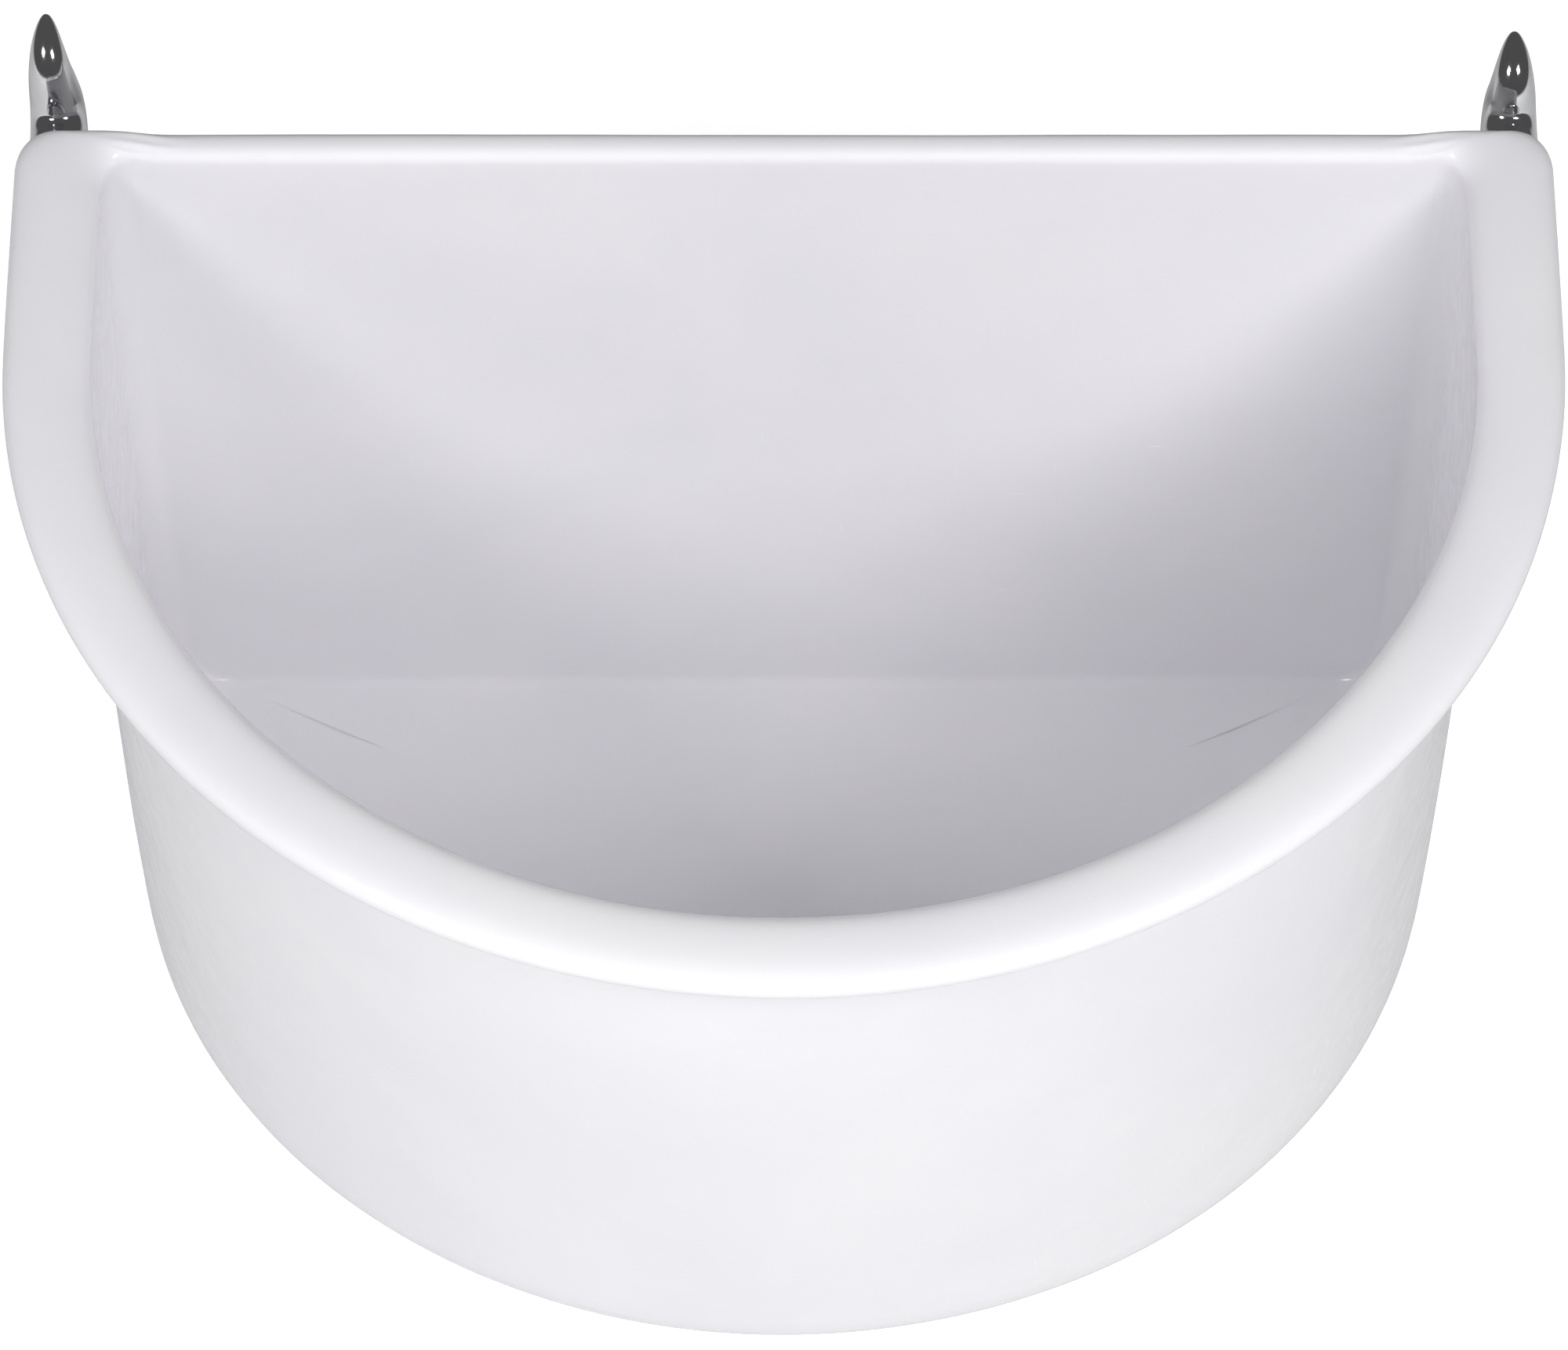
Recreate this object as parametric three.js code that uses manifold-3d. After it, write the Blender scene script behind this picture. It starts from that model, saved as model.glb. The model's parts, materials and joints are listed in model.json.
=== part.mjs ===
// A stable feed bucket: a half-round moulded bucket with a flat back, which hangs
// from two polished steel claws bolted through the back corners of its rim.
// Millimetres, +Z up. The flat back faces +Y, and left (-X) and right (+X) are as
// seen by someone who stands in front of the bucket. The origin is on the underside
// of the base, midway across the rim and midway from its front to its back.
import * as THREE from "three";
import { mergeVertices } from "three/addons/utils/BufferGeometryUtils.js";
import Module from "manifold-3d";

const wasm = await Module();
wasm.setup();

// Driving dimensions of the moulding
const rimHalfWidth = 200;
const rimWidth = 23.5;
const cheekLength = 64;
const edgeHeight = 231;
const crownHeight = 4.7;
const rimUnderside = 6;
const backThickness = 9.5;
const wallThickness = 4;
const backDraft = 2;
const sideTaper = 6;
const frontTaper = 22;
const taperPower = 1.7;
const baseFillet = 25;
const floorFillet = 16;
const innerCornerRadius = 6;
const outerCornerRadius = 3;
const rimEndRadius = 8;
const ovalPower = 0.8;

// Corner blocks under the rim, which the claws are bolted through
const blockInnerX = 177;
const blockOuterX = 199;
const blockLength = 26;
const blockDrop = 31;
const blockTop = 1.5;
const blockCornerRadius = 9.5;

// Claw hooks and their fasteners
const hookX = 190;
const shankDrop = 15.5;
const shankRadius = 3.9;
const boreRadius = 4.4;
const gap = 0.3;
const washerRadius = 8.6;
const washerHole = 4.3;
const washerThickness = 1.8;
const collarRadius = 8.6;
const collarThickness = 3;
const neckLength = 4.4;
const rootRadius = 7.8;
const tipRadius = 0.5;
const elbowRadius = 9;
const bendRadius = 12;
const bendAngle = 60;
const pointLength = 5;
const clawRise = { left: 7.5, right: 0.5 };
const clawLean = { left: 5, right: 2.5 };
const nutAcrossFlats = 13;
const nutHeight = 6;
const nutCollarRadius = 6.4;
const nutCollarHeight = 3;
const insertRadius = 5.4;
const threadBeyondNut = 3;
const nutHole = 4.2;

// Worked out from the dimensions above
const mouthHalfWidth = rimHalfWidth - rimWidth;
const overallDepth = backThickness + cheekLength + rimHalfWidth;
const backFaceY = overallDepth / 2;
const innerBackY = backFaceY - backThickness;
const frontCentreY = innerBackY - cheekLength;
const shankZ = edgeHeight - shankDrop;

const ARC_STEPS = 44;
const CORNER_STEPS = 3;

function finish(color, roughness, metalness) {
  return new THREE.MeshStandardMaterial({ color, roughness, metalness });
}

const moulding = () => finish(0xe9e7ef, 0.35, 0);
const polishedSteel = () => finish(0xc4c6ca, 0.12, 1);
const zincPlate = () => finish(0xaab0b4, 0.35, 1);
const blueNylon = () => finish(0x2f5fa8, 0.5, 0);

// Solids from closed meshes, and back again
function solidOf(geometry) {
  const bare = geometry.clone();
  bare.deleteAttribute("normal");
  bare.deleteAttribute("uv");
  const position = bare.attributes.position;
  for (let i = 0; i < position.array.length; i++) {
    position.array[i] = Math.round(position.array[i] * 1000) / 1000;
  }
  const merged = mergeVertices(bare, 1e-4);
  return new wasm.Manifold(new wasm.Mesh({
    numProp: 3,
    vertProperties: new Float32Array(merged.attributes.position.array),
    triVerts: new Uint32Array(merged.index.array),
  }));
}

function geometryOf(solid) {
  const mesh = solid.getMesh();
  const geometry = new THREE.BufferGeometry();
  geometry.setAttribute("position", new THREE.BufferAttribute(mesh.vertProperties, 3));
  geometry.setIndex(new THREE.BufferAttribute(mesh.triVerts, 1));
  geometry.computeVertexNormals();
  return geometry;
}

// A closed solid through a row of rings that all have the same number of points.
// Each ring runs anticlockwise seen from the side that the next ring is on.
function loft(rings) {
  const count = rings[0].length;
  const points = rings.flat().concat([centreOf(rings[0]), centreOf(rings.at(-1))]);
  const firstCentre = points.length - 2;
  const lastCentre = points.length - 1;
  const lastRing = (rings.length - 1) * count;
  const index = [];
  for (let i = 0; i < count; i++) {
    const next = (i + 1) % count;
    index.push(firstCentre, next, i);
    index.push(lastCentre, lastRing + i, lastRing + next);
    for (let r = 0; r < rings.length - 1; r++) {
      const low = r * count;
      const high = low + count;
      index.push(low + i, low + next, high + next);
      index.push(low + i, high + next, high + i);
    }
  }
  const geometry = new THREE.BufferGeometry().setFromPoints(points);
  geometry.setIndex(index);
  return geometry;
}

function centreOf(ring) {
  const sum = ring.reduce((total, point) => total.add(point), new THREE.Vector3());
  return sum.divideScalar(ring.length);
}

// The bucket's plan at one height: flat back, straight cheeks and a half-round front
function planRing({ halfWidth, backY, centreY, round, cornerRadius, z }) {
  const ring = [];
  for (let i = 0; i <= ARC_STEPS; i++) {
    const angle = Math.PI + (Math.PI * i) / ARC_STEPS;
    ring.push(new THREE.Vector3(
      halfWidth * Math.cos(angle), centreY + round * Math.sin(angle), z));
  }
  for (const side of [1, -1]) {
    const start = side > 0 ? 0 : Math.PI / 2;
    for (let i = 0; i <= CORNER_STEPS; i++) {
      const angle = start + (Math.PI / 2) * (i / CORNER_STEPS);
      ring.push(new THREE.Vector3(
        side * (halfWidth - cornerRadius) + cornerRadius * Math.cos(angle),
        backY - cornerRadius + cornerRadius * Math.sin(angle), z));
    }
  }
  return ring;
}

// A ring round the wall at height z. The wall comes in towards the base, most at
// the front, and a fillet joins it to the flat floor.
function wallRing(z, { offset, floor, fillet, backFillet, backY, cornerRadius }) {
  const taper = Math.pow(1 - z / edgeHeight, taperPower);
  const inset = filletInset(z, floor, fillet);
  const frontY = frontCentreY - mouthHalfWidth - offset + frontTaper * taper + inset;
  const cheek = (innerBackY - frontY) * cheekLength / (cheekLength + mouthHalfWidth);
  return planRing({
    halfWidth: mouthHalfWidth + offset - sideTaper * taper - inset,
    backY: backY(taper) - filletInset(z, floor, backFillet),
    centreY: innerBackY - cheek,
    round: innerBackY - cheek - frontY,
    cornerRadius, z,
  });
}

function filletInset(z, floor, fillet) {
  const below = Math.max(0, floor + fillet - z);
  return fillet - Math.sqrt(Math.max(0, fillet * fillet - below * below));
}

// Heights up the wall, close together round the fillet and wide above it
function wallHeights(floor, fillet, top) {
  const heights = [];
  const filletSteps = 5;
  for (let i = 0; i <= filletSteps; i++) {
    heights.push(floor + fillet * (1 - Math.cos((Math.PI / 2) * (i / filletSteps))));
  }
  const wallSteps = 5;
  for (let i = 1; i <= wallSteps; i++) {
    heights.push(floor + fillet + (top - floor - fillet) * (i / wallSteps));
  }
  return heights;
}

// A ring round the rim's oval section: 0 degrees is its outer edge, 90 its crown and
// 180 its inner edge. Along the back the same section is narrower, and its outer
// side stays flush with the back face.
function rimRing(degrees) {
  const angle = THREE.MathUtils.degToRad(degrees);
  const cos = Math.sign(Math.cos(angle)) * Math.abs(Math.cos(angle)) ** ovalPower;
  const sin = Math.sign(Math.sin(angle)) * Math.abs(Math.sin(angle)) ** ovalPower;
  const out = (rimWidth / 2) * (1 + cos);
  const backOut = degrees < 0 ? backThickness : (backThickness / 2) * (1 + cos);
  const middle = (crownHeight - rimUnderside) / 2;
  return planRing({
    halfWidth: mouthHalfWidth + out,
    backY: innerBackY + backOut,
    centreY: frontCentreY,
    round: mouthHalfWidth + out,
    cornerRadius: innerCornerRadius + (rimEndRadius - innerCornerRadius) * (out / rimWidth),
    z: edgeHeight + middle + (middle + rimUnderside) * sin,
  });
}

// One skin from the underside of the base, up the outside, over the rim and down
// the inside to the floor
function mouldedBowl() {
  const outside = {
    offset: wallThickness, floor: 0, fillet: baseFillet, backFillet: 4,
    backY: () => backFaceY, cornerRadius: outerCornerRadius,
  };
  const inside = {
    offset: 0, floor: wallThickness, fillet: floorFillet, backFillet: 3,
    backY: (taper) => innerBackY + backDraft * taper, cornerRadius: innerCornerRadius,
  };
  const up = wallHeights(0, baseFillet, edgeHeight - rimUnderside);
  const down = wallHeights(wallThickness, floorFillet, edgeHeight - rimUnderside).reverse();
  return loft([
    ...up.map((z) => wallRing(z, outside)),
    ...[-55, -30, 0, 25, 50, 75, 105, 130, 155, 180].map(rimRing),
    ...down.map((z) => wallRing(z, inside)),
  ]);
}

// A block under each end of the rim, with a rounded corner in plan
function cornerBlock(side) {
  const frontY = backFaceY - blockLength;
  const outline = new THREE.Shape();
  outline.moveTo(blockInnerX, frontY);
  outline.lineTo(blockOuterX, frontY);
  outline.absarc(blockOuterX - blockCornerRadius, backFaceY - blockCornerRadius,
    blockCornerRadius, 0, Math.PI / 2);
  outline.lineTo(blockInnerX, backFaceY);
  const block = new THREE.ExtrudeGeometry(outline, {
    depth: blockDrop - blockTop, bevelEnabled: false, curveSegments: 5,
  });
  block.translate(0, 0, edgeHeight - blockDrop);
  return side > 0 ? block : mirrored(block);
}

function mirrored(geometry) {
  const copy = geometry.clone();
  copy.scale(-1, 1, 1);
  const position = copy.attributes.position;
  const corner = new THREE.Vector3();
  const other = new THREE.Vector3();
  for (let i = 0; i < position.count; i += 3) {
    corner.fromBufferAttribute(position, i + 1);
    other.fromBufferAttribute(position, i + 2);
    position.setXYZ(i + 1, other.x, other.y, other.z);
    position.setXYZ(i + 2, corner.x, corner.y, corner.z);
  }
  return copy;
}

function bore(side) {
  const drill = new THREE.CylinderGeometry(boreRadius, boreRadius, blockLength + 4, 24);
  drill.translate(side * hookX, backFaceY - blockLength / 2, shankZ);
  return drill;
}

function bucketShell() {
  let shell = solidOf(mouldedBowl());
  for (const side of [-1, 1]) {
    shell = shell.add(solidOf(cornerBlock(side))).subtract(solidOf(bore(side)));
  }
  return geometryOf(shell);
}

// The claw in its own frame: the shank lies on the Y axis, the back face is y = 0,
// and the claw turns up in +Z and curves backwards to its point
class ClawLine extends THREE.Curve {
  constructor(rise) {
    super();
    const start = collarStart + 0.5;
    const elbowStart = collarEnd + neckLength;
    const elbowEnd = elbowStart + elbowRadius;
    const sweep = THREE.MathUtils.degToRad(bendAngle);
    const upright = Math.PI / 2;
    const bend = {
      kind: "arc", from: [elbowEnd, elbowRadius + rise], heading: upright, turn: -sweep,
      radius: bendRadius,
    };
    this.pieces = [
      { kind: "line", from: [start, 0], heading: 0, length: elbowStart - start },
      { kind: "arc", from: [elbowStart, 0], heading: 0, turn: upright, radius: elbowRadius },
      { kind: "line", from: [elbowEnd, elbowRadius], heading: upright, length: rise },
      bend,
      { kind: "line", from: along(bend, lengthOf(bend)), heading: upright - sweep, length: pointLength },
    ];
    this.total = this.pieces.reduce((sum, piece) => sum + lengthOf(piece), 0);
  }

  getPoint(t, target = new THREE.Vector3()) {
    const [y, z] = this.planePoint(t * this.total);
    return target.set(0, y, z);
  }

  planePoint(distance) {
    let left = distance;
    for (const piece of this.pieces) {
      const length = lengthOf(piece);
      if (left <= length || piece === this.pieces.at(-1)) {
        return along(piece, Math.min(left, length));
      }
      left -= length;
    }
    return [0, 0];
  }
}

const collarStart = washerThickness + 2 * gap;
const collarEnd = collarStart + collarThickness;

function lengthOf(piece) {
  return piece.kind === "line" ? piece.length : Math.abs(piece.turn) * piece.radius;
}

function along(piece, distance) {
  const [y, z] = piece.from;
  if (piece.kind === "line") {
    return [y + distance * Math.cos(piece.heading), z + distance * Math.sin(piece.heading)];
  }
  const sign = Math.sign(piece.turn);
  const centreHeading = piece.heading + (sign * Math.PI) / 2;
  const cy = y + piece.radius * Math.cos(centreHeading);
  const cz = z + piece.radius * Math.sin(centreHeading);
  const angle = centreHeading + Math.PI + (sign * distance) / piece.radius;
  return [cy + piece.radius * Math.cos(angle), cz + piece.radius * Math.sin(angle)];
}

// The claw tapers from root to point like a thorn: slowly at first, then fast
function clawRadius(share) {
  return tipRadius + (rootRadius - tipRadius) * Math.pow(1 - Math.pow(share, 2.2), 0.62);
}

function clawBody(rise) {
  const line = new ClawLine(rise);
  const stations = 30;
  const sides = 16;
  const rings = [];
  const across = new THREE.Vector3(1, 0, 0);
  for (let i = 0; i <= stations; i++) {
    const share = 1 - Math.pow(1 - i / stations, 1.5);
    const centre = line.getPoint(share);
    const tangent = line.getTangent(share);
    const up = new THREE.Vector3().crossVectors(across, tangent);
    const radius = clawRadius(share);
    const ring = [];
    for (let k = 0; k < sides; k++) {
      const angle = -(2 * Math.PI * k) / sides;
      ring.push(centre.clone()
        .addScaledVector(across, radius * Math.cos(angle))
        .addScaledVector(up, radius * Math.sin(angle)));
    }
    rings.push(ring);
  }
  return loft(rings);
}

// A stepped round piece turned about the Y axis: pairs of radius and y, outside first
function turned(profile, sides) {
  const points = profile.map(([radius, y]) => new THREE.Vector2(radius, y));
  return new THREE.LatheGeometry(points, sides);
}

const nutFrontY = -blockLength - washerThickness - 2 * gap;
const shankEndY = nutFrontY - nutHeight - nutCollarHeight - threadBeyondNut;

function clawHook(rise) {
  const shank = turned([
    [0, shankEndY], [shankRadius - 0.8, shankEndY], [shankRadius, shankEndY + 0.8],
    [shankRadius, collarStart], [collarRadius - 0.5, collarStart],
    [collarRadius, collarStart + 0.5], [collarRadius, collarEnd - 0.8],
    [collarRadius - 0.8, collarEnd], [0, collarEnd],
  ], 24);
  return geometryOf(solidOf(shank).add(solidOf(clawBody(rise))));
}

function ring(outer, inner, thickness, chamfer) {
  return turned([
    [inner, 0], [outer - chamfer, 0], [outer, chamfer],
    [outer, thickness - chamfer], [outer - chamfer, thickness],
    [inner, thickness], [inner, 0],
  ], 24);
}

// A hexagon nut with a round collar at its free end, which holds the nylon ring
function lockNut() {
  const corner = nutAcrossFlats / Math.sqrt(3);
  const hexagon = new THREE.CylinderGeometry(corner, corner, nutHeight, 6);
  hexagon.translate(0, -nutHeight / 2, 0);
  const collar = new THREE.CylinderGeometry(
    nutCollarRadius, nutCollarRadius - 0.6, nutCollarHeight + 0.5, 24);
  collar.translate(0, -nutHeight - nutCollarHeight / 2 + 0.25, 0);
  const hole = new THREE.CylinderGeometry(nutHole, nutHole, 3 * nutHeight, 24);
  hole.translate(0, -nutHeight, 0);
  const pocketRadius = insertRadius + gap;
  const pocket = new THREE.CylinderGeometry(pocketRadius, pocketRadius, nutCollarHeight, 24);
  pocket.translate(0, -nutHeight - nutCollarHeight / 2 - 0.3, 0);
  return geometryOf(solidOf(hexagon).add(solidOf(collar))
    .subtract(solidOf(hole)).subtract(solidOf(pocket)));
}

function place(parent, name, geometry, material, y = 0) {
  const mesh = new THREE.Mesh(geometry, material);
  mesh.name = name;
  mesh.position.y = y;
  parent.add(mesh);
}

// One claw with its washers, lock nut and nylon ring, on the shank's axis
function clawSet(side, sideName) {
  const group = new THREE.Group();
  group.position.set(side * hookX, backFaceY, shankZ);
  const turning = new THREE.Group();
  turning.rotation.y = side * THREE.MathUtils.degToRad(clawLean[sideName]);
  group.add(turning);
  const washer = () => ring(washerRadius, washerHole, washerThickness, 0.3);
  place(turning, `hook_${sideName}`, clawHook(clawRise[sideName]), polishedSteel());
  place(turning, `lock_nut_${sideName}`, lockNut(), zincPlate(), nutFrontY);
  const insert = ring(insertRadius, nutHole, nutCollarHeight - 1.2, 0.2);
  place(turning, `nut_insert_${sideName}`, insert, blueNylon(),
    nutFrontY - nutHeight - nutCollarHeight + 0.6);
  place(group, `back_washer_${sideName}`, washer(), zincPlate(), gap);
  place(group, `nut_washer_${sideName}`, washer(), zincPlate(),
    -blockLength - washerThickness - gap);
  return group;
}

const bucket = new THREE.Group();
place(bucket, "bucket_shell", bucketShell(), moulding());
bucket.add(clawSet(-1, "left"));
bucket.add(clawSet(1, "right"));

export default bucket;
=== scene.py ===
# %% [markdown]
# # A half-round feed bucket that hangs on two steel claws
#
# The bucket is one moulding in glossy white polyethylene: a flat back, straight cheeks, a
# half-round front, a flat floor and a rolled rim. Two polished steel claws are bolted through
# blocks under the rim's back corners and hang over a bar or a partition.
#
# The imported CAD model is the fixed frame: it gives every position and size. Here each of its
# plain pieces is modelled again at full smoothness, in the same place, and gets its finish.

# %% Load the frame
import json
import math

import bpy
from mathutils import Matrix, Vector


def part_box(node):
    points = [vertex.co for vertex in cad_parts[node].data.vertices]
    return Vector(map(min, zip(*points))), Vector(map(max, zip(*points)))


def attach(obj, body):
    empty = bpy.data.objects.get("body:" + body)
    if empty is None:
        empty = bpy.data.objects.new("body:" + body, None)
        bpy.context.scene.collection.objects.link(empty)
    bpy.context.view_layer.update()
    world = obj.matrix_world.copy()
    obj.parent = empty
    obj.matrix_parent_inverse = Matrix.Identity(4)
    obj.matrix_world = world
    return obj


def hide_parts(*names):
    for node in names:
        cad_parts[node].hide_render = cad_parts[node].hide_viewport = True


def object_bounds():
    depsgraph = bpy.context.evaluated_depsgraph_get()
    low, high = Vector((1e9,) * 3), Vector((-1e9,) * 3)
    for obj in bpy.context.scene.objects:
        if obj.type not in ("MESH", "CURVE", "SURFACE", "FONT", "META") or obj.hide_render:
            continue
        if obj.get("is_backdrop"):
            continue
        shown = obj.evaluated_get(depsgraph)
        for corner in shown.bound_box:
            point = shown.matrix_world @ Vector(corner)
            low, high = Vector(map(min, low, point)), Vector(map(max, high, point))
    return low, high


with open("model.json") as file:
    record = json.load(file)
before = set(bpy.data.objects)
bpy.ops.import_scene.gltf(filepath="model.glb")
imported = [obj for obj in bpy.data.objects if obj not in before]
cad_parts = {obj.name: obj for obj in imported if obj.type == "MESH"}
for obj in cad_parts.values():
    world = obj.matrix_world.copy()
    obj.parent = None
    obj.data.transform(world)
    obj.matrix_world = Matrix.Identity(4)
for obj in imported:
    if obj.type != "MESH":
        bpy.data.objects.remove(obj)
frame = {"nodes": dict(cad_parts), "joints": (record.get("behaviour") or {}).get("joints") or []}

CAD_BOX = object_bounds()
MM = 0.001
print("frame nodes:", sorted(frame["nodes"]))

# %% [markdown]
# ## Places and sizes
#
# Everything is worked out from the frame: the shell's box gives the rim's width, its front, its
# back face and its crown, and each claw's joint gives the axis of its shank. The few sizes that a
# box can't give, such as the rim's width and the wall's taper, are the design's own.

# %% Places and sizes
SHELL_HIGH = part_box("bucket_shell")[1]
RIM_HALF = SHELL_HIGH.x
BACK_FACE = SHELL_HIGH.y
RIM_WIDTH = 23.5 * MM
CROWN_RISE = 4.7 * MM
RIM_UNDERSIDE = 6 * MM
EDGE = SHELL_HIGH.z - CROWN_RISE
BACK_THICK = 9.5 * MM
CHEEK = 64 * MM
WALL = 4 * MM
MOUTH_HALF = RIM_HALF - RIM_WIDTH
BACK_INNER = BACK_FACE - BACK_THICK
FRONT_CENTRE = BACK_INNER - CHEEK
SIDE_TAPER = 6 * MM
FRONT_TAPER = 22 * MM
TAPER_POWER = 1.7
BASE_FILLET = 25 * MM
FLOOR_FILLET = 16 * MM
RIM_OVAL_POWER = 0.8
SHANKS = {joint["child"]: Vector(joint["pos_m"]) for joint in frame["joints"]}
print("rim", round(2 * RIM_HALF / MM), "mm wide, edge", round(EDGE / MM, 1), "mm high")

# %% [markdown]
# ## Working by hand, in code
#
# Blender's tools act on what is selected, so each step here selects vertices by their place and
# then calls the tool: extrude, move, resize. Three small helpers keep those steps short.

# %% Selecting and moving
def only(obj):
    """Deselects everything else and makes obj the active object."""
    if bpy.context.object and bpy.context.object.mode != "OBJECT":
        bpy.ops.object.mode_set(mode="OBJECT")
    bpy.ops.object.select_all(action="DESELECT")
    obj.select_set(True)
    bpy.context.view_layer.objects.active = obj


def edit(obj):
    only(obj)
    bpy.ops.object.mode_set(mode="EDIT")
    bpy.ops.mesh.select_mode(type="VERT")


def select_where(obj, wanted):
    """In edit mode, selects just the vertices for which wanted(position) is true."""
    bpy.ops.mesh.select_all(action="DESELECT")
    bpy.ops.object.mode_set(mode="OBJECT")
    for vertex in obj.data.vertices:
        vertex.select = wanted(vertex.co)
    bpy.ops.object.mode_set(mode="EDIT")


def primitive(name, add, **settings):
    """Adds a primitive with its place and turn put into its mesh."""
    bpy.ops.object.select_all(action="DESELECT")
    add(**settings)
    obj = bpy.context.object
    obj.name = obj.data.name = name
    bpy.ops.object.transform_apply(location=True, rotation=True, scale=True)
    return obj


def finish_modifier(obj, kind, **settings):
    """Adds a modifier and applies it straight away."""
    only(obj)
    modifier = obj.modifiers.new(kind.title(), kind)
    for key, value in settings.items():
        setattr(modifier, key, value)
    bpy.ops.object.modifier_apply(modifier=modifier.name)


def smooth(obj, degrees=40):
    only(obj)
    bpy.ops.object.shade_smooth_by_angle(angle=math.radians(degrees))
    print(obj.name, len(obj.data.polygons), "faces")

# %% [markdown]
# ## The plan of the bucket
#
# Seen from above every level of the bucket is the same figure: a half circle for the front, two
# straight cheeks and a straight back with rounded corners. The half circle comes from a circle
# primitive whose back half is deleted. Its two ends are extruded back to make the cheeks, an edge
# closes the back, and the two corners are bevelled round.

# %% The plan outline
ARC_POINTS = 64
CHEEK_STEPS = 6
BACK_CUTS = 47
CORNER = 10 * MM
TINY = 0.01 * MM


def plan_outline(name, half_width, back, front_centre, height):
    """A D-shaped ring of edges at one height."""
    ring = primitive(name, bpy.ops.mesh.primitive_circle_add, vertices=2 * ARC_POINTS,
                     radius=half_width, fill_type="NOTHING",
                     location=(0, front_centre, height))
    edit(ring)
    select_where(ring, lambda co: co.y > front_centre + TINY)
    bpy.ops.mesh.delete(type="VERT")
    step = (back - front_centre) / CHEEK_STEPS
    for i in range(CHEEK_STEPS):
        end = front_centre + i * step
        select_where(ring, lambda co: co.y > end - TINY)
        bpy.ops.mesh.extrude_region_move(TRANSFORM_OT_translate={"value": (0, step, 0)})
    select_where(ring, lambda co: co.y > back - TINY)
    bpy.ops.mesh.edge_face_add()
    bpy.ops.mesh.subdivide(number_cuts=BACK_CUTS)
    select_where(ring, lambda co: co.y > back - TINY and abs(co.x) > half_width - TINY)
    bpy.ops.mesh.bevel(affect="VERTICES", offset=CORNER, segments=6)
    bpy.ops.object.mode_set(mode="OBJECT")
    return ring


# %% [markdown]
# ## The profile of the wall
#
# A level of the bucket is described by four lengths: its half width, where its back is, where the
# half-round front is centred and how far that front reaches. The wall tapers a little at the sides
# and more at the front, and a fillet joins it to the flat base. The rim is an oval roll.

# %% Levels of the wall and rim
def fillet_inset(z, floor, fillet):
    below = max(0.0, floor + fillet - z)
    return fillet - math.sqrt(max(0.0, fillet * fillet - below * below))


def wall_level(z, offset, floor, fillet, back_fillet, back_draft):
    taper = (1 - z / EDGE) ** TAPER_POWER
    inset = fillet_inset(z, floor, fillet)
    front = FRONT_CENTRE - MOUTH_HALF - offset + FRONT_TAPER * taper + inset
    cheek = (BACK_INNER - front) * CHEEK / (CHEEK + MOUTH_HALF)
    back = (BACK_FACE if offset else BACK_INNER + back_draft * taper)
    return {
        "half": MOUTH_HALF + offset - SIDE_TAPER * taper - inset,
        "back": back - fillet_inset(z, floor, back_fillet),
        "centre": BACK_INNER - cheek,
        "reach": BACK_INNER - cheek - front,
        "z": z,
    }


def rim_level(degrees):
    """The rim's oval section: 0 is its outer edge, 90 its crown and 180 its inner edge."""
    cos, sin = math.cos(math.radians(degrees)), math.sin(math.radians(degrees))
    cos = math.copysign(abs(cos) ** RIM_OVAL_POWER, cos)
    sin = math.copysign(abs(sin) ** RIM_OVAL_POWER, sin)
    out = RIM_WIDTH / 2 * (1 + cos)
    back_out = BACK_THICK if degrees < 0 else BACK_THICK / 2 * (1 + cos)
    middle = (CROWN_RISE - RIM_UNDERSIDE) / 2
    return {
        "half": MOUTH_HALF + out,
        "back": BACK_INNER + back_out,
        "centre": FRONT_CENTRE,
        "reach": MOUTH_HALF + out,
        "z": EDGE + middle + (middle + RIM_UNDERSIDE) * sin,
    }


def wall_heights(floor, fillet, top, fillet_steps, wall_steps):
    low = [floor + fillet * (1 - math.cos(math.pi / 2 * i / fillet_steps))
           for i in range(fillet_steps + 1)]
    return low + [floor + fillet + (top - floor - fillet) * i / wall_steps
                  for i in range(1, wall_steps + 1)]


OUTSIDE = {"offset": WALL, "floor": 0, "fillet": BASE_FILLET,
           "back_fillet": 4 * MM, "back_draft": 0}
INSIDE = {"offset": 0, "floor": WALL, "fillet": FLOOR_FILLET,
          "back_fillet": 1.5 * MM, "back_draft": 2 * MM}
outside_heights = wall_heights(0, BASE_FILLET, EDGE - RIM_UNDERSIDE, 8, 10)
inside_heights = wall_heights(WALL, FLOOR_FILLET, EDGE - RIM_UNDERSIDE, 8, 10)
levels = [wall_level(z, **OUTSIDE) for z in outside_heights]
levels += [rim_level(angle) for angle in range(-60, 181, 15)]
levels += [wall_level(z, **INSIDE) for z in reversed(inside_heights)]
print(len(levels), "levels from the base, over the rim and down to the floor")

# %% [markdown]
# ## Raising the shell
#
# The outline is extruded from level to level: up the outside, over the rim and down the inside to
# the floor, as one skin. After each extrusion the new ring is resized to its level's plan: first
# across, then its round front and its cheeks separately, because the front comes in more than the
# sides. A lathe or a bevelled block couldn't give a flat back and a half-round front in one piece.

# %% Take a ring from one level to the next
def select_numbered(obj, numbers):
    """Selects the vertices with these numbers and goes to edit mode."""
    bpy.ops.object.mode_set(mode="EDIT")
    bpy.ops.mesh.select_all(action="DESELECT")
    bpy.ops.object.mode_set(mode="OBJECT")
    for number in numbers:
        obj.data.vertices[number].select = True
    bpy.ops.object.mode_set(mode="EDIT")


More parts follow.
